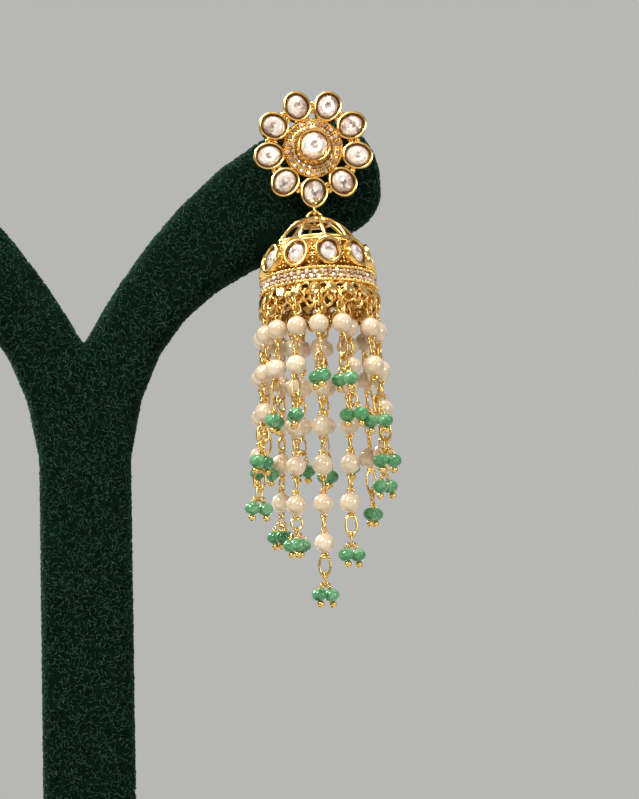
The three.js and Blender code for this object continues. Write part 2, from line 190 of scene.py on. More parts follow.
def crystal_material(name, *painted_reflections):
    """Bright cut stone over foil: each facet takes its own painted reflection, from dark to
    bright.
    """
    mat, tree, shader = new_material(name)
    shader.inputs["Metallic"].default_value = 0.45
    shader.inputs["IOR"].default_value = 2.1
    shader.inputs["Coat Weight"].default_value = 0.5
    shader.inputs["Coat Roughness"].default_value = 0.04
    facet = tree.nodes.new("ShaderNodeAttribute")
    facet.attribute_name = "facet"
    stops = [(i / (len(painted_reflections) - 1), painted_reflection) for i, painted_reflection in enumerate(painted_reflections)]
    tree.links.new(ramp(tree, facet.outputs["Fac"], *stops), shader.inputs["Base Color"])
    tree.links.new(spread(tree, noise(tree, 1500, 2), 0.06, 0.18), shader.inputs["Roughness"])
    return mat


def pearl_material():
    mat, tree, shader = new_material("cream_pearl")
    tint = noise(tree, 140, 2)
    colour = ramp(tree, tint, (0.35, (0.70, 0.54, 0.36)), (0.55, (0.77, 0.62, 0.44)),
                  (0.7, (0.83, 0.71, 0.54)))
    tree.links.new(colour, shader.inputs["Base Color"])
    tree.links.new(spread(tree, noise(tree, 1500, 4), 0.16, 0.26), shader.inputs["Roughness"])
    shader.inputs["Metallic"].default_value = 0.12
    shader.inputs["Subsurface Weight"].default_value = 0.12
    shader.inputs["Subsurface Scale"].default_value = 0.0008
    shader.inputs["Subsurface Radius"].default_value = (1.0, 0.6, 0.4)
    shader.inputs["Coat Weight"].default_value = 1.0
    shader.inputs["Coat Roughness"].default_value = 0.05
    shader.inputs["Sheen Weight"].default_value = 0.2
    shader.inputs["Sheen Tint"].default_value = (1.0, 0.86, 0.8, 1)
    bump(tree, noise(tree, 2400, 3), shader, 0.05, 0.00005)
    return mat


def green_material():
    mat, tree, shader = new_material("green_glass")
    streak = noise(tree, 420, 4, 0.5, 0.8)
    colour = ramp(tree, streak, (0.36, (0.05, 0.27, 0.09)), (0.54, (0.13, 0.47, 0.20)),
                  (0.72, (0.42, 0.74, 0.48)))
    tree.links.new(colour, shader.inputs["Base Color"])
    tree.links.new(spread(tree, noise(tree, 1800, 3), 0.05, 0.14), shader.inputs["Roughness"])
    shader.inputs["Transmission Weight"].default_value = 0.4
    shader.inputs["Subsurface Weight"].default_value = 0.3
    shader.inputs["Subsurface Scale"].default_value = 0.001
    shader.inputs["Coat Weight"].default_value = 0.6
    shader.inputs["Coat Roughness"].default_value = 0.04
    return mat


def flock_material(name, deep, light, strength, sheen):
    mat, tree, shader = new_material(name)
    tuft = noise(tree, 700, 5, 0.6, 1.5)
    tree.links.new(ramp(tree, tuft, (0.35, deep), (0.68, light)), shader.inputs["Base Color"])
    tree.links.new(spread(tree, noise(tree, 300, 3), 0.82, 1.0), shader.inputs["Roughness"])
    shader.inputs["Sheen Weight"].default_value = sheen
    shader.inputs["Sheen Roughness"].default_value = 0.25
    shader.inputs["Sheen Tint"].default_value = (0.55, 0.85, 0.70, 1)
    shader.inputs["Specular IOR Level"].default_value = 0.03
    bump(tree, noise(tree, 1300, 6, 0.65, 1.8), shader, strength, 0.0003)
    return mat


gold = gold_material("polished_gold", (0.86, 0.53, 0.15), (0.97, 0.68, 0.26), 0.17)
# painted shade: a darker, rougher gold for grooves, cup floors and the bands under the paved
# stones
recess_shade_gold = gold_material("gold_painted_recess_shade", (0.17, 0.075, 0.014), (0.36, 0.18, 0.04), 0.34)
shaded_gold = gold_material("shaded_gold", (0.10, 0.045, 0.010), (0.26, 0.12, 0.028), 0.40)
# the stones' own pinkish and champagne tints, with painted reflections from dark to bright picked
# facet by facet
crystal = crystal_material("clear_stone", (0.16, 0.11, 0.09), (0.50, 0.37, 0.31),
                           (0.82, 0.67, 0.58), (0.96, 0.85, 0.77), (1.0, 0.96, 0.91))
champagne = crystal_material("paved_stone", (0.20, 0.09, 0.04), (0.50, 0.30, 0.18),
                             (0.72, 0.52, 0.38), (0.92, 0.76, 0.64))
pearl = pearl_material()
green = green_material()
flock = flock_material("flock_ground", (0.0006, 0.0045, 0.0025), (0.0028, 0.0135, 0.0080),
                       0.9, 0.03)
# the fibres take a lighter copy of the flock's colour: a painted highlight on the fibres against
# the darker ground
fibre = flock_material("flock_fibre_painted_highlight", (0.004, 0.018, 0.012), (0.024, 0.080, 0.054), 0.2, 0.24)


# ---- modelling helpers --------------------------------------------------------------

def deselect():
    if bpy.context.object and bpy.context.object.mode != "OBJECT":
        bpy.ops.object.mode_set(mode="OBJECT")
    bpy.ops.object.select_all(action="DESELECT")


def shaped(at, smooth=True):
    """The primitive just added, with its place in its mesh."""
    piece = bpy.context.object
    piece.data.transform(at)
    for face in piece.data.polygons:
        face.use_smooth = smooth
    return piece


def torus(major, minor, at=HERE, around=28, across=8):
    deselect()
    bpy.ops.mesh.primitive_torus_add(major_radius=major, minor_radius=minor,
                                     major_segments=around, minor_segments=across)
    return shaped(at)


def ball(radius, at=HERE, around=16, rings=10):
    deselect()
    bpy.ops.mesh.primitive_uv_sphere_add(radius=radius, segments=around, ring_count=rings)
    return shaped(at)


def pin(radius, length, at=HERE, sides=12):
    """A round pin with softened ends, from z = 0 up to its length."""
    deselect()
    bpy.ops.mesh.primitive_cylinder_add(vertices=sides, radius=radius, depth=length,
                                        location=(0, 0, length / 2))
    bpy.ops.object.transform_apply(location=True)
    piece = bpy.context.object
    finish_modifier(piece, "BEVEL", width=radius * 0.35, segments=2, limit_method="ANGLE")
    return shaped(at)


def finish_modifier(piece, kind, **settings):
    """Adds a modifier with the settings and applies it."""
    deselect()
    bpy.context.view_layer.objects.active = piece
    piece.select_set(True)
    modifier = piece.modifiers.new(kind.title(), kind)
    for name, value in settings.items():
        setattr(modifier, name, value)
    bpy.ops.object.modifier_apply(modifier=modifier.name)


def edit(piece):
    """Edit mode on the piece, in face selection, with nothing selected."""
    deselect()
    bpy.context.view_layer.objects.active = piece
    piece.select_set(True)
    bpy.ops.object.mode_set(mode="EDIT")
    bpy.ops.mesh.select_mode(type="FACE")
    bpy.ops.mesh.select_all(action="DESELECT")


def pick_faces(piece, wanted):
    """Selects the faces whose centre and normal satisfy wanted, in edit mode."""
    bpy.ops.object.mode_set(mode="OBJECT")
    for face in piece.data.polygons:
        face.select = wanted(face.center, face.normal)
    bpy.ops.object.mode_set(mode="EDIT")


def turned(profile, steps=64):
    """A closed or axis-to-axis profile of (radius, height) spun about z."""
    mesh = bpy.data.meshes.new("profile")
    points = [(radius, 0, height) for radius, height in profile]
    mesh.from_pydata(points, [(i, i + 1) for i in range(len(points) - 1)], [])
    piece = bpy.data.objects.new("profile", mesh)
    bpy.context.collection.objects.link(piece)
    edit(piece)
    bpy.ops.mesh.select_mode(type="VERT")
    bpy.ops.mesh.select_all(action="SELECT")
    bpy.ops.mesh.spin(steps=steps, angle=TAU, center=(0, 0, 0), axis=(0, 0, 1))
    bpy.ops.mesh.select_all(action="SELECT")
    bpy.ops.mesh.remove_doubles(threshold=0.0005)
    bpy.ops.mesh.normals_make_consistent(inside=False)
    bpy.ops.object.mode_set(mode="OBJECT")
    bpy.ops.object.shade_smooth_by_angle(angle=math.radians(40))
    return piece


def bent_wire(points, radius, resolution=4):
    """Round wire along a smooth line through the points."""
    curve = bpy.data.curves.new("wire", "CURVE")
    curve.dimensions = "3D"
    curve.bevel_depth = radius
    curve.bevel_resolution = 2
    curve.resolution_u = resolution
    curve.use_fill_caps = True
    line = curve.splines.new("BEZIER")
    line.bezier_points.add(len(points) - 1)
    for knot, point in zip(line.bezier_points, points):
        knot.co = point
        knot.handle_left_type = knot.handle_right_type = "AUTO"
    piece = bpy.data.objects.new("wire", curve)
    bpy.context.collection.objects.link(piece)
    deselect()
    piece.select_set(True)
    bpy.context.view_layer.objects.active = piece
    bpy.ops.object.convert(target="MESH")
    return shaped(HERE)


def copied(piece, places):
    """One more piece for each place, every one with its own mesh."""
    made = []
    for place in places:
        twin = piece.copy()
        twin.data = piece.data.copy()
        twin.data.transform(place)
        bpy.context.collection.objects.link(twin)
        made.append(twin)
    bpy.data.objects.remove(piece)
    return made


def settled(name, pieces, place, body, nodes=()):
    """Joins the pieces, puts them in metres where the frame says, and lets them ride."""
    deselect()
    for piece in pieces:
        piece.select_set(True)
    bpy.context.view_layer.objects.active = pieces[0]
    if len(pieces) > 1:
        bpy.ops.object.join()
    whole = bpy.context.view_layer.objects.active
    whole.data.transform(place @ MM)
    whole.name = name
    whole.data.name = name
    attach(whole, body)
    if nodes:
        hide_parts(*nodes)
    return whole


def coat(pieces, material):
    """Gives the material to every piece that has none yet."""
    for piece in pieces:
        if not piece.data.materials:
            piece.data.materials.append(material)
    return pieces


def set_stones(stone, places, sectors=9):
    """A cut stone in each place, its facets given painted reflections in wedges, painted darker at
    the middle.
    """
    stones = []
    for place in places:
        twin = copied(stone.copy(), [HERE])[0]
        faces = twin.data.polygons
        reach = max(face.center.xy.length for face in faces)
        # each wedge of facets gets a painted reflection, from dark to bright
        wedges = [chance.choice((0.2, 0.55, 0.8, 1.0, 1.0)) for _ in range(sectors)]
        painted_reflections = []
        for face in faces:
            angle = math.atan2(face.center.y, face.center.x) / TAU + 1
            painted_reflection = 0.8 * wedges[int(angle * sectors) % sectors] + chance.uniform(0.0, 0.3)
            # painted reflection: the middle facets above the centre are painted dark
            if face.center.xy.length < 0.34 * reach and face.center.y > -0.1 * reach:
                painted_reflection *= 0.35
            painted_reflections.append(min(1.0, painted_reflection))
        facet = twin.data.attributes.new("facet", "FLOAT", "FACE")
        facet.data.foreach_set("value", painted_reflections)
        twin.data.transform(place)
        stones.append(twin)
    bpy.data.objects.remove(stone)
    return stones


def shift(x, y, z):
    return Matrix.Translation((x, y, z))


def turn(angle, axis="Z"):
    return Matrix.Rotation(angle, 4, axis)


def grow(x, y, z):
    return Matrix.Diagonal((x, y, z, 1))


def metres(x, y, z):
    return Matrix.Translation((x / 1000, y / 1000, z / 1000))


# ---- parts that repeat on the flower and on the dome ---------------------------------

def bezel(wide, long, high, sink, deep, thick=1.0):
    """Oval cup with a bright rounded lip, a groove painted dark as shade and a second, lower lip.
    """
    size = (wide + long) / 4
    # how far in from the edge, in shares of the lip's thickness, and how far below the top
    lip = [(0, 0.2), (0.06, 0.06), (0.19, 0), (0.32, 0.05), (0.38, 0.18)]
    groove = [(0.39, 0.34), (0.43, 0.36)]
    inner_lip = [(0.44, 0.22), (0.49, 0.14), (0.54, 0.18), (0.57, 0.42), (0.58, deep)]
    top = [(size - thick * inward, high - below) for inward, below in lip + groove + inner_lip]
    cup = turned([(0, -sink), (size - 0.12, -sink), (size, 0.12 - sink), *top, (0, high - deep)],
                 steps=40)
    cup.data.transform(grow(wide / 2 / size, long / 2 / size, 1))
    cup.data.materials.append(gold)
    cup.data.materials.append(recess_shade_gold)
    # the groove and the cup's floor take the darker gold: painted shade
    for face in cup.data.polygons:
        across = math.hypot(face.center.x * 2 / wide, face.center.y * 2 / long) * size
        inward = (size - across) / thick
        painted_shade_groove = face.center.z < high - 0.15 and 0.385 < inward < 0.435
        painted_shade_floor = inward > 0.5 and -0.5 * sink < face.center.z < high - 0.15
        face.material_index = 1 if painted_shade_groove or painted_shade_floor else 0
    return cup


def brilliant(wide, long, below, girdle, crown, sides):
    """Faceted stone: rows of facets up to a low point over a girdle, a blunt foot under it.

    Its mesh is not closed: some edges have one face or three.
    """
    deselect()
    bpy.ops.mesh.primitive_circle_add(vertices=sides, radius=0.5, fill_type="NGON")
    stone = bpy.context.object
    half = TAU / sides / 2
    edit(stone)
    bpy.ops.mesh.select_all(action="SELECT")
    steps = [(girdle, 1.0, 0.0), (crown * 0.45, 0.86, half), (crown * 0.35, 0.80, half),
             (crown * 0.20, 0.84, half)]
    for rise, size, spin in steps:
        bpy.ops.mesh.extrude_region_move(TRANSFORM_OT_translate={"value": (0, 0, rise)})
        bpy.ops.transform.resize(value=(size, size, 1), center_override=(0, 0, 0))
        if spin:
            bpy.ops.transform.rotate(value=spin, orient_axis="Z", center_override=(0, 0, 0))
    pick_faces(stone, lambda centre, normal: abs(centre.z) < 1e-5)
    bpy.ops.mesh.extrude_region_move(TRANSFORM_OT_translate={"value": (0, 0, -below)})
    bpy.ops.transform.resize(value=(0.4, 0.4, 1), center_override=(0, 0, 0))
    top = girdle + crown
    pick_faces(stone, lambda centre, normal: centre.z > top - 1e-4)
    bpy.ops.mesh.inset(thickness=0.13)
    bpy.ops.mesh.poke(offset=0.05)
    bpy.ops.mesh.select_all(action="SELECT")
    bpy.ops.mesh.quads_convert_to_tris()
    bpy.ops.mesh.normals_make_consistent(inside=False)
    bpy.ops.object.mode_set(mode="OBJECT")
    stone.data.transform(grow(wide, long, 1))
    return stone


def chip(radius, height):
    """Tiny paved stone, a low faceted cap."""
    deselect()
    bpy.ops.mesh.primitive_ico_sphere_add(subdivisions=1, radius=radius)
    bpy.context.object.data.transform(grow(1, 1, height / radius))
    return shaped(HERE, smooth=False)


# ---- flower stud ---------------------------------------------------------------------

flower_place = metres(HANG_X, FLOWER_BACK_Y, FLOWER_Z) @ turn(math.pi / 2, "X")


def petal_place(i):
    return turn(math.pi + TAU * i / PETALS) @ shift(0, PETAL_RING, 0)


def flower_setting():
    """Petal cups soldered to a plate with grains, centre cup, eye below and post behind."""
    cup = bezel(PETAL_WIDE, PETAL_LONG, PETAL_HIGH, 0, 1.2)
    metal = copied(cup, [petal_place(i) for i in range(PETALS)])
    joint = PETAL_RING * math.cos(math.pi / PETALS)
    grains = [turn(TAU * (i + 0.5) / PETALS) @ shift(0, -out, high)
              for out, high in ((joint + 0.5, 1.25), (joint - 0.5, 1.1)) for i in range(PETALS)]
    metal += copied(ball(0.48, HERE, 12, 8), grains)
    metal.append(turned([
        (0, 0), (DISC_RADIUS - 0.15, 0), (DISC_RADIUS, 0.15), (DISC_RADIUS, DISC_HIGH - 0.15),
        (DISC_RADIUS - 0.12, DISC_HIGH), (DISC_RADIUS - 0.3, DISC_HIGH - 0.08),
        (DISC_RADIUS - 0.4, 1.45), (3.3, 1.95), (2.75, 2.35), (CENTRE_RADIUS, 2.6),
        (CENTRE_RADIUS, CENTRE_HIGH - 0.15), (CENTRE_RADIUS - 0.12, CENTRE_HIGH),
        (CENTRE_RADIUS - 0.25, CENTRE_HIGH - 0.05), (CENTRE_RADIUS - 0.4, CENTRE_HIGH - 0.45),
        (CENTRE_RADIUS - 0.45, CENTRE_HIGH - 1.4), (0, CENTRE_HIGH - 1.4)], steps=72))
    loop = shift(0, LOOP_Z - FLOWER_Z, FLOWER_BACK_Y - HANG_Y)
    metal.append(torus(LOOP_RADIUS + EYE_OUTSET, EYE_WIRE, loop @ turn(math.pi / 2, "Y"), 32, 10))
    metal.append(pin(0.62, 1.5, loop @ shift(0, 0.75, 0) @ turn(-math.pi / 2, "X")))
    metal.append(pin(POST_RADIUS, POST_END_Y - FLOWER_BACK_Y,
                     shift(0, 0, 0.1) @ turn(math.pi, "X"), 20))
    coat(metal, gold)
    settled("flower_metal", metal, flower_place, "stand", ["flower_setting"])


def flower_stones():
    stone = brilliant(*PETAL_CUT)
    places = [petal_place(i) @ shift(0, 0, 1.5) @ turn(chance.uniform(-0.1, 0.1), "X")
              for i in range(PETALS)]
    for i, piece in enumerate(set_stones(stone, places)):
        coat([piece], crystal)
        settled(f"petal_crystal_{i + 1}", [piece], flower_place, "stand",
                [f"petal_stone_{i + 1}"])
    centre = set_stones(brilliant(*CENTRE_CUT), [shift(0, 0, CENTRE_HIGH - 0.75)], 11)
    settled("center_crystal", coat(centre, crystal), flower_place, "stand",
            ["center_stone"])


def flower_pave():
    """Two rings of tiny stones round the centre cup, with grains between them."""
    count = 20
    # the ring under the stones takes the darker gold: painted shade between the stones
    pieces = coat([turned([(2.62, 1.5), (4.3, 1.2), (4.3, 1.45), (3.4, 1.9), (2.62, 2.5),
                           (2.62, 1.5)])], recess_shade_gold)
    for out, high, size in ((4.0, 1.72, 0.46), (3.15, 2.2, 0.36)):
        ring = [turn(TAU * (i + 0.5) / count) @ shift(0, out, high) @ turn(0.5, "X")
                for i in range(count)]
        pieces += coat(set_stones(chip(size, size * 0.75), ring, 3), champagne)
        grains = [turn(TAU * i / count) @ shift(0, out - 0.05, high + 0.1) for i in range(count)]
        pieces += coat(copied(ball(size * 0.42, HERE, 8, 6), grains), gold)
    settled("flower_pave", pieces, flower_place, "stand", ["flower_pave_ring"])


# ---- jump ring -----------------------------------------------------------------------

def jump_ring():
    ring = torus(RING_RADIUS - RING_INSET, RING_WIRE, turn(math.pi / 2, "X"), 48, 14)
    coat([ring], gold)
    settled("jump_ring_wire", [ring], metres(HANG_X, HANG_Y, LOOP_Z - RING_RADIUS), "link",
            ["jump_ring"])


# ---- dome ----------------------------------------------------------------------------

dome_place = (metres(HANG_X, HANG_Y, BAR_Z) @ turn(-DOME_ROLL, "Y") @ turn(-DOME_LEAN, "X"))
dome_line = [(CROWN_RADIUS, 0.2), (5.4, -1.0), (8.0, -4.8), (DOME_MOUTH, -DOME_HIGH)]


def dome_point(t, out=0.0):
    """Point of the dome's outer line at t, moved out along its normal, and its slope."""
    a, b, c, d = (Vector(p) for p in dome_line)
    s = 1 - t
    at = s ** 3 * a + 3 * s * s * t * b + 3 * s * t * t * c + t ** 3 * d
    along = (3 * s * s * (b - a) + 6 * s * t * (c - b) + 3 * t * t * (d - c)).normalized()
    return at + Vector((-along.y, along.x)) * out, math.atan2(along.x, -along.y)


def at_depth(depth):
    """The t where the outer line is that far below the crown."""
    low, high = 0.0, 1.0
    for _ in range(30):
        middle = (low + high) / 2
        if dome_point(middle)[0].y > -depth:
            low = middle
        else:
            high = middle
    return low


def on_wall(depth, angle, out=0.0):
    """Frame on the dome's wall: z out of it, y up along it."""
    at, slope = dome_point(at_depth(depth), out)
    return turn(angle) @ shift(0, -at.x, at.y) @ turn(math.pi / 2 - slope, "X")


def dome_wall():
    """The shaded sheet behind the cups, open above and below."""
    start = at_depth(WALL_TOP)
    steps = 18
    line = [dome_point(start + (1 - start) * i / steps)[0] for i in range(steps + 1)]
    inner = [dome_point(start + (1 - start) * i / steps, -WALL_THICK)[0] for i in range(steps + 1)]
    profile = [*line, *reversed(inner), line[0]]
    wall = turned([(p.x, p.y) for p in profile], steps=96)
    wall.data.materials.append(shaded_gold)
    return wall


def dome_ribs():
    """Wires from the crown down to just below the wall's upper edge."""
    line = [dome_point(at_depth(RIB_FOOT) * i / 6, RIB_WIRE / -2)[0] for i in range(7)]
    rib = bent_wire([(0, -p.x, p.y) for p in line], RIB_WIRE)
    step = TAU / RIBS
    return copied(rib, [turn(STONE_TURN + step * i) for i in range(RIBS)])


def dome_filigree():
    """Grains and little scrolls on the wall between the cups."""
    pieces = []
    step = TAU / RIBS
    grain = ball(0.22, HERE, 10, 6)
    spots = ((4.6, 0.5), (8.15, 0.5), (8.3, 0.38), (8.3, 0.62), (7.6, 0.5), (5.2, 0.5))
    places = [on_wall(depth, STONE_TURN + step * (i + share), 0.05)
              for i in range(RIBS) for depth, share in spots]
    pieces += copied(grain, places)
    scroll = [(0.12 * math.cos(a) * (1 + a / 3), 0.12 * math.sin(a) * (1 + a / 3), 0.1)
              for a in [k * 0.7 for k in range(12)]]
    for side in (1, -1):
        curl = bent_wire([(side * x, y, z) for x, y, z in scroll], 0.1, resolution=2)
        places = [on_wall(depth, STONE_TURN + step * (i + 0.5 + side * 0.055), 0.0)
                  for i in range(RIBS) for depth in (5.9, 6.9)]
        pieces += copied(curl, places)
    return pieces


def dome_trim():
    """Pointed leaves, soldered rings and hooks crowded below the paved band."""
    count = 20
    leaf = brilliant(*LEAF_CUT)
    ring = torus(0.82, 0.27, HERE, 20, 8)
    small = torus(0.7, 0.24, grow(1, 1.25, 1), 16, 8)
    # piece, share of a step round the rim, how far in, how far below, turn, lean
    rows = [(leaf, 0.5, 0.35, 1.05, 0.35, -0.45), (ring, 0.0, 0.4, 1.0, 0.3, 0.3),
            (ring, 0.5, 0.6, 2.3, 0.8, 0.5), (small, 0.0, 0.6, 2.1, 1.3, 0.3),
            (small, 0.25, 0.8, 3.0, 1.2, 0.4), (small, 0.75, 0.7, 1.9, 1.2, 0.4)]
    pieces = []
    for shape, share, inward, below, spin, lean in rows:
        places = [turn(TAU * (i + share) / count)
                  @ shift(0, -RIM_RADIUS + inward, -DOME_HIGH - below)
                  @ turn(chance.uniform(-spin, spin))
                  @ turn(math.pi / 2 + (lean if lean < 0 else chance.uniform(-lean, lean)), "X")
                  for i in range(count)]
        pieces += copied(shape.copy(), places)
    for shape in (leaf, ring, small):
        bpy.data.objects.remove(shape)
    return pieces


def dome_cage():
    """All of the dome's metal, in one piece: the bright parts and the shaded wall."""
    crown = turned([(CROWN_RADIUS - 0.65, -0.4), (CROWN_RADIUS + 0.1, -0.4),
                    (CROWN_RADIUS + 0.2, -0.2), (CROWN_RADIUS + 0.2, 0.2),
                    (CROWN_RADIUS, 0.35), (CROWN_RADIUS - 0.6, 0.35),
                    (CROWN_RADIUS - 0.7, 0.2), (CROWN_RADIUS - 0.65, -0.4)])
    bright = [crown, *dome_ribs()]
    for depth in (3.6, 4.15):
        at = dome_point(at_depth(depth), -0.04)[0]
        bright.append(torus(at.x, 0.26, shift(0, 0, at.y), 96, 8))
    cup = bezel(DOME_CUP_WIDE, DOME_CUP_LONG, DOME_CUP_HIGH, 0.5, 0.75, 1.3)
    bright += copied(cup, [on_wall(DOME_STONE_DEPTH, STONE_TURN + TAU * i / RIBS)
                           for i in range(RIBS)])
    bright += dome_filigree()
    bright += dome_trim()
    count = 88
    edges = ((PAVE_TOP - 0.2, RIM_RADIUS - 0.35), (PAVE_BOTTOM + 0.2, RIM_RADIUS - 0.25))
    for depth, radius in edges:
        bright.append(torus(radius, 0.24, shift(0, 0, -depth), 96, 8))
        bead = ball(0.25, HERE, 8, 6)
        bright += copied(bead, [turn(TAU * i / count) @ shift(0, -radius - 0.17, -depth)
                                for i in range(count)])
    reach = CROWN_RADIUS - 0.4
    bright.append(pin(WIRE, 2 * reach, shift(0, -reach, 0) @ turn(-math.pi / 2, "X")))
    long = DOME_MOUTH - 0.4
    bright.append(pin(0.35, 2 * long, shift(-long, 0, INNER_BAR_Z) @ turn(math.pi / 2, "Y")))
    coat(bright, gold)
    settled("dome_metal", [dome_wall(), *bright], dome_place, "bell", ["dome_cage"])


def dome_stones():
    stone = brilliant(*DOME_CUT)
    places = [on_wall(DOME_STONE_DEPTH, STONE_TURN + TAU * i / RIBS, 0.35) for i in range(RIBS)]
    for i, piece in enumerate(set_stones(stone, places)):
        coat([piece], crystal)
        settled(f"dome_crystal_{i + 1}", [piece], dome_place, "bell",
                [f"dome_stone_{i + 1}"])


def dome_pave():
    """Two rows of tiny stones round the rim, with grains between them."""
    radius = RIM_RADIUS - 0.35
    band = turned([(DOME_MOUTH - 0.1, -PAVE_BOTTOM), (radius, -PAVE_BOTTOM),
                   (radius, -PAVE_TOP), (DOME_MOUTH - 0.1, -PAVE_TOP),
                   (DOME_MOUTH - 0.1, -PAVE_BOTTOM)], steps=96)
    # the band under the stones takes the darker gold: painted shade between the stones
    pieces = coat([band], recess_shade_gold)
    count = 46
    middle = (PAVE_TOP + PAVE_BOTTOM) / 2
    heights = (-middle + PAVE_ROW / 2, -middle + PAVE_ROW / 2 - PAVE_ROW)
    places = [turn(TAU * (i + row / 2) / count) @ shift(0, -radius, heights[row])
              @ turn(math.pi / 2, "X") @ turn(chance.uniform(0, 3))
              for row in (0, 1) for i in range(count)]
    pieces += coat(set_stones(chip(0.48, 0.42), places, 3), champagne)
    spots = [turn(TAU * (i + 0.5 - row / 2) / count) @ shift(0, -radius - 0.12, heights[row])
             for row in (0, 1) for i in range(count)]
    pieces += coat(copied(ball(0.2, HERE, 8, 6), spots), gold)
    settled("dome_pave", pieces, dome_place, "bell", ["dome_pave_band"])


# ---- bead strands --------------------------------------------------------------------

def eye(depth, plane):
    """Small round loop on the thread, next to a pearl."""
    place = shift(0, 0, -depth) @ turn(plane) @ turn(math.pi / 2, "X")
    return torus(BEAD_EYE, BEAD_EYE_WIRE, place, 14, 6)


def link(depth, long, wide, plane):
    """Oval ring hanging round the thread, its middle at depth."""
    place = shift(0, 0, -depth) @ turn(plane) @ turn(math.pi / 2, "X") @ grow(wide, long, 1)
    return torus(0.5, CHAIN_WIRE / max(wide, 0.9), place, 16, 6)


def link_chain(start, end):
    """Small oval links filling a stretch of thread."""
    count = max(1, round((end - start) / CHAIN_PITCH))
    step = (end - start) / count
    return [link(start + step * (i + 0.5), step + 0.6, 1.15,
                 (i % 2) * math.pi / 2 + chance.uniform(-0.35, 0.35)) for i in range(count)]


def pearl_bead(depth):
    """A pearl on the thread, a little out of round and out of line."""
    radius = PEARL * chance.uniform(0.95, 1.03)
    squash = chance.uniform(0.94, 1.0)
    lean = turn(chance.uniform(-0.25, 0.25), "X") @ turn(chance.uniform(-0.25, 0.25), "Y")
    place = shift(chance.uniform(-0.12, 0.12), chance.uniform(-0.12, 0.12), -depth)
    return ball(radius, place @ lean @ grow(1, 1, squash), 28, 18)


def green_drop(foot, angle):
    """A green rondelle on its ball-headed pin, hung beside the thread: glass and gold."""
    sway = chance.uniform(-0.18, 0.18)
    hang = (turn(angle) @ shift(GREEN_SIDE, 0, -foot) @ turn(sway, "Y")
            @ turn(chance.uniform(-0.2, 0.2), "X"))
    glass = ball(GREEN, hang @ grow(1, 1, 0.86), 24, 16)
    metal = [ball(0.56, hang @ shift(0, 0, -1.45), 14, 9),
             pin(0.16, 2.8, hang @ shift(0, 0, -1.4), 8)]
    metal.append(torus(0.42, 0.15, turn(angle) @ shift(GREEN_SIDE * 0.55, 0, 1.45 - foot)
                       @ turn(math.pi / 2, "X") @ turn(0.5, "Y"), 14, 6))
    return glass, metal


def strand(name, node, first, pearls, tail, greens, place):
    """One strand as three pieces: its pearls, its wire and its green beads."""
    beads = [pearl_bead(first + PITCH * i) for i in range(pearls)]
    last = first + PITCH * (pearls - 1)
    foot = last + tail
    wires = link_chain(0.1, first - PEARL - 0.35)
    for i in range(pearls):
        middle = first + PITCH * i
        wires += [eye(middle - PEARL - BEAD_EYE / 2, chance.uniform(-0.5, 0.5)),
                  eye(middle + PEARL + BEAD_EYE / 2, chance.uniform(-0.5, 0.5))]
        if i < pearls - 1:
            wires.append(link(middle + PITCH / 2, 1.9, 0.95, 1.2 + chance.uniform(-0.5, 0.5)))
    big = last + PEARL + 0.55
    room = foot - 1.7 - big
    wires.append(link(big + room * 0.32, room * 0.78, 1.75, chance.uniform(-0.4, 0.4)))
    wires.append(link(big + room * 0.80, room * 0.52, 1.3, 1.1 + chance.uniform(-0.4, 0.4)))
    glass = []
    for i in range(greens):
        bead, metal = green_drop(foot, PAIR_TURN + TAU * i / greens)
        glass.append(bead)
        wires += metal
    settled(f"{name}_pearls", coat(beads, pearl), place, "bell", [node])
    settled(f"{name}_wire", coat(wires, gold), place, "bell", [node])
    settled(f"{name}_green", coat(glass, green), place, "bell", [node])


def rim_strands():
    for i, (degrees, inset, pearls, tail, greens) in enumerate(RIM_STRANDS):
        angle = math.radians(degrees)
        radius = STRAND_RING - inset
        top = Vector((radius * math.sin(angle), -radius * math.cos(angle),
                      -DOME_HIGH - LUG_LONG + 0.2)) / 1000
        at = dome_place @ top - Vector((0, 0, GAP / 1000))
        long = FIRST_PEARL + PITCH * (pearls - 1) + tail
        place = (Matrix.Translation(at) @ turn(angle - math.pi / 2)
                 @ turn(-math.asin(FLARE / long), "Y"))
        strand(f"rim_{i + 1}", f"rim_strand_{i + 1}", FIRST_PEARL, pearls, tail, greens, place)


def inner_strands():
    for i, (side, pearls, tail, greens) in enumerate(INNER_STRANDS):
        top = dome_place @ (Vector((side, 0, INNER_BAR_Z - 0.35)) / 1000)
        place = Matrix.Translation(top - Vector((0, 0, GAP / 1000)))
        strand(f"inner_{i + 1}", f"inner_strand_{i + 1}", INNER_FIRST, pearls, tail, greens,
               place)


# ---- display stand -------------------------------------------------------------------

def fibre_shape():
    """One short bent fibre, in metres, lying along x."""
    deselect()
    bpy.ops.mesh.primitive_circle_add(vertices=3, radius=0.065, fill_type="NGON",
                                      location=(0.5, 0, 0), rotation=(math.pi / 2, 0, 0))
    bpy.ops.object.transform_apply(location=True, rotation=True)
    piece = bpy.context.object
    edit(piece)
    bpy.ops.mesh.select_all(action="SELECT")
    bpy.ops.mesh.extrude_region_move(TRANSFORM_OT_translate={"value": (-0.12, 0.36, 0.10)})
    bpy.ops.mesh.extrude_region_move(TRANSFORM_OT_translate={"value": (-0.34, 0.16, -0.04)})
    bpy.ops.mesh.select_all(action="SELECT")
    bpy.ops.mesh.normals_make_consistent(inside=False)
    bpy.ops.object.mode_set(mode="OBJECT")
    return shaped(MM @ shift(-0.35, -0.25, 0))


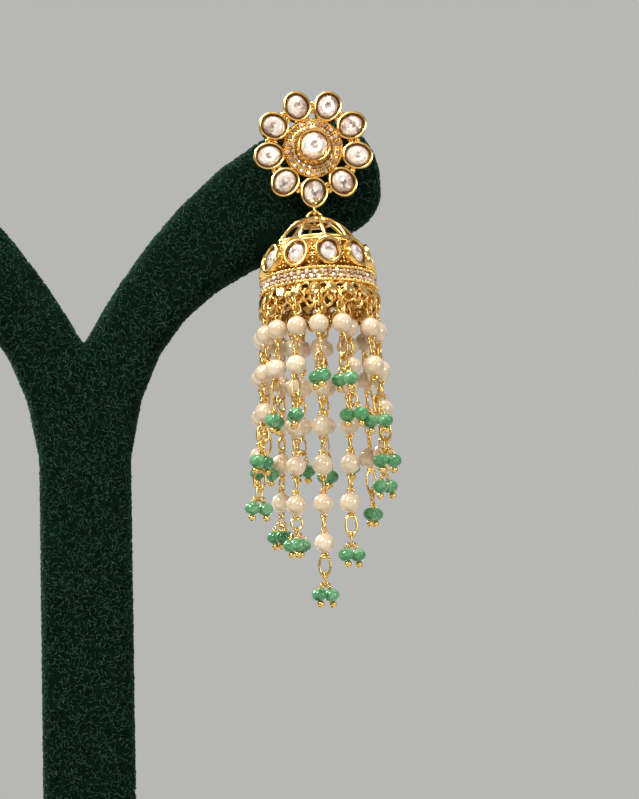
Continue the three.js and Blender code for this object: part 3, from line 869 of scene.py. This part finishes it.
def fibre_group(shape, density, seed):
    """Geometry Nodes that strew bent fibres over a surface and keep only them."""
    group = bpy.data.node_groups.new("strewn_fibres", "GeometryNodeTree")
    group.interface.new_socket("Geometry", in_out="INPUT", socket_type="NodeSocketGeometry")
    group.interface.new_socket("Geometry", in_out="OUTPUT", socket_type="NodeSocketGeometry")
    nodes, links = group.nodes, group.links
    start = nodes.new("NodeGroupInput")
    end = nodes.new("NodeGroupOutput")
    points = nodes.new("GeometryNodeDistributePointsOnFaces")
    points.inputs["Density"].default_value = density
    points.inputs["Seed"].default_value = seed
    upright = nodes.new("FunctionNodeAlignRotationToVector")
    upright.axis = "Z"
    spin = nodes.new("FunctionNodeRandomValue")
    spin.data_type = "FLOAT_VECTOR"
    spin.inputs["Min"].default_value = (-0.25, -0.25, 0)
    spin.inputs["Max"].default_value = (0.2, 0.2, TAU)
    spin.inputs["Seed"].default_value = seed + 1
    lay = nodes.new("FunctionNodeRotateRotation")
    lay.rotation_space = "LOCAL"
    size = nodes.new("FunctionNodeRandomValue")
    size.inputs[2].default_value = 0.75
    size.inputs[3].default_value = 1.35
    strands = nodes.new("GeometryNodeInstanceOnPoints")
    source = nodes.new("GeometryNodeObjectInfo")
    source.inputs["Object"].default_value = shape
    real = nodes.new("GeometryNodeRealizeInstances")
    links.new(start.outputs[0], points.inputs["Mesh"])
    links.new(points.outputs["Normal"], upright.inputs["Vector"])
    links.new(upright.outputs["Rotation"], lay.inputs["Rotation"])
    links.new(spin.outputs["Value"], lay.inputs["Rotate By"])
    links.new(points.outputs["Points"], strands.inputs["Points"])
    links.new(source.outputs["Geometry"], strands.inputs["Instance"])
    links.new(lay.outputs["Rotation"], strands.inputs["Rotation"])
    links.new(size.outputs[1], strands.inputs["Scale"])
    links.new(strands.outputs["Instances"], real.inputs["Geometry"])
    links.new(real.outputs["Geometry"], end.inputs[0])
    return group


def flocked(node, voxel, rounds):
    """Smooth padded-looking ground of a stand part, made from a merged copy of its solid."""
    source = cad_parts[node]
    ground = source.copy()
    ground.data = source.data.copy()
    ground.parent = None
    bpy.context.collection.objects.link(ground)
    edit(ground)
    bpy.ops.mesh.select_all(action="SELECT")
    bpy.ops.mesh.remove_doubles(threshold=0.00002)
    bpy.ops.object.mode_set(mode="OBJECT")
    finish_modifier(ground, "REMESH", mode="VOXEL", voxel_size=voxel)
    finish_modifier(ground, "SMOOTH", factor=0.5, iterations=rounds)
    for face in ground.data.polygons:
        face.use_smooth = True
    ground.data.materials.clear()
    coat([ground], flock)
    ground.name = f"{node}_flock"
    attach(ground, "stand")
    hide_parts(node)
    return ground


def strewn(name, ground, wanted, shape, density, seed):
    """Fibres over the part of a ground whose face centres are wanted."""
    piece = ground.copy()
    piece.data = ground.data.copy()
    bpy.context.collection.objects.link(piece)
    edit(piece)
    pick_faces(piece, lambda centre, normal: not wanted(centre))
    bpy.ops.mesh.delete(type="FACE")
    bpy.ops.object.mode_set(mode="OBJECT")
    finish_modifier(piece, "NODES", node_group=fibre_group(shape, density, seed))
    piece.data.materials.clear()
    coat([piece], fibre)
    piece.name = name
    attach(piece, "stand")


def swept(place):
    """The edge of the arm behind the dome, kept clear of fibres so that the dome can swing."""
    beside = SWING_LEFT < place.x < SWING_RIGHT
    return beside and place.y < SWING_FRONT and place.z < SWING_TOP


def display_stand():
    """Flocked board and base, with loose fibres in four pieces."""
    shape = fibre_shape()
    board = flocked("stand_board", voxel=0.0006, rounds=8)
    base = flocked("stand_base", voxel=0.0009, rounds=4)
    strewn("fibres_right_arm", board,
           lambda c: c.z > ARM_FOOT_Z and c.x >= 0 and not swept(c), shape, FIBRES, 1)
    strewn("fibres_left_arm", board, lambda c: c.z > ARM_FOOT_Z and c.x < 0, shape, FIBRES, 2)
    strewn("fibres_stem", board, lambda c: STEM_FOOT_Z < c.z <= ARM_FOOT_Z, shape, FIBRES, 3)
    strewn("fibres_base", base, lambda c: c.z > BASE_FOOT_Z, shape, FIBRES * BASE_SHARE, 4)
    bpy.data.objects.remove(shape)


# ---- stage, light and camera ---------------------------------------------------------

def studio():
    floor()
    sky()
    bpy.context.scene.view_settings.view_transform = "Standard"
    for name, place, size, power, colour in LAMPS:
        lamp(name, place, size, power, colour)
    daylight()


def floor():
    deselect()
    bpy.ops.mesh.primitive_plane_add(size=6, location=(0, 0, 0))
    ground = bpy.context.object
    ground.name = "floor"
    mat, tree, shader = new_material("pale_floor")
    colour = ramp(tree, noise(tree, 3), (0.4, (0.33, 0.328, 0.322)), (0.6, (0.36, 0.357, 0.350)))
    tree.links.new(colour, shader.inputs["Base Color"])
    shader.inputs["Roughness"].default_value = 0.8
    ground.data.materials.append(mat)


def sky():
    """Pale light from all round, stronger from behind the stand than from the front."""
    world = bpy.data.worlds.new("studio")
    bpy.context.scene.world = world
    world.use_nodes = True
    tree = world.node_tree
    back = tree.nodes["Background"]
    coords = tree.nodes.new("ShaderNodeTexCoord")
    way = tree.nodes.new("ShaderNodeSeparateXYZ")
    tree.links.new(coords.outputs["Generated"], way.inputs["Vector"])
    reach = tree.nodes.new("ShaderNodeMapRange")
    reach.interpolation_type = "SMOOTHSTEP"
    reach.inputs["From Min"].default_value = -0.1
    reach.inputs["From Max"].default_value = 0.8
    reach.inputs["To Min"].default_value = FRONT_GLOW
    reach.inputs["To Max"].default_value = BACK_GLOW
    tree.links.new(way.outputs["Y"], reach.inputs["Value"])
    tree.links.new(reach.outputs["Result"], back.inputs["Strength"])
    back.inputs["Color"].default_value = (0.95, 0.95, 0.93, 1)


def daylight():
    sun = bpy.data.objects.new("daylight", bpy.data.lights.new("daylight", "SUN"))
    sun.data.energy = SUN
    sun.data.angle = math.radians(25)
    sun.rotation_euler = (math.radians(38), 0, math.radians(-35))
    bpy.context.collection.objects.link(sun)


def lamp(name, place, size, power, colour):
    """A soft round lamp that points at the earring."""
    data = bpy.data.lights.new(name, "AREA")
    data.shape = "DISK"
    data.size = size
    data.energy = power
    data.color = colour
    ob = bpy.data.objects.new(name, data)
    ob.location = place
    way = Vector(LAMP_TARGET) - Vector(place)
    ob.rotation_euler = way.to_track_quat("-Z", "Y").to_euler()
    bpy.context.collection.objects.link(ob)


def camera():
    """Looks a little up at the earring from the left, from 0.6 m."""
    azimuth, elevation, roll = math.radians(-4), math.radians(-6.5), math.radians(-1.15)
    back = Vector((math.sin(azimuth) * math.cos(elevation),
                   -math.cos(azimuth) * math.cos(elevation), math.sin(elevation)))
    data = bpy.data.cameras.new("camera")
    data.sensor_width = 36
    data.lens = CAMERA_LENS
    ob = bpy.data.objects.new("camera", data)
    ob.location = Vector(CAMERA_TARGET) + back * CAMERA_FAR
    look = (-back).to_track_quat("-Z", "Y").to_matrix().to_4x4()
    ob.rotation_euler = (look @ Matrix.Rotation(roll, 4, "Z")).to_euler()
    bpy.context.collection.objects.link(ob)
    bpy.context.scene.camera = ob


display_stand()
flower_setting()
flower_stones()
flower_pave()
jump_ring()
dome_cage()
dome_stones()
dome_pave()
rim_strands()
inner_strands()
studio()
camera()
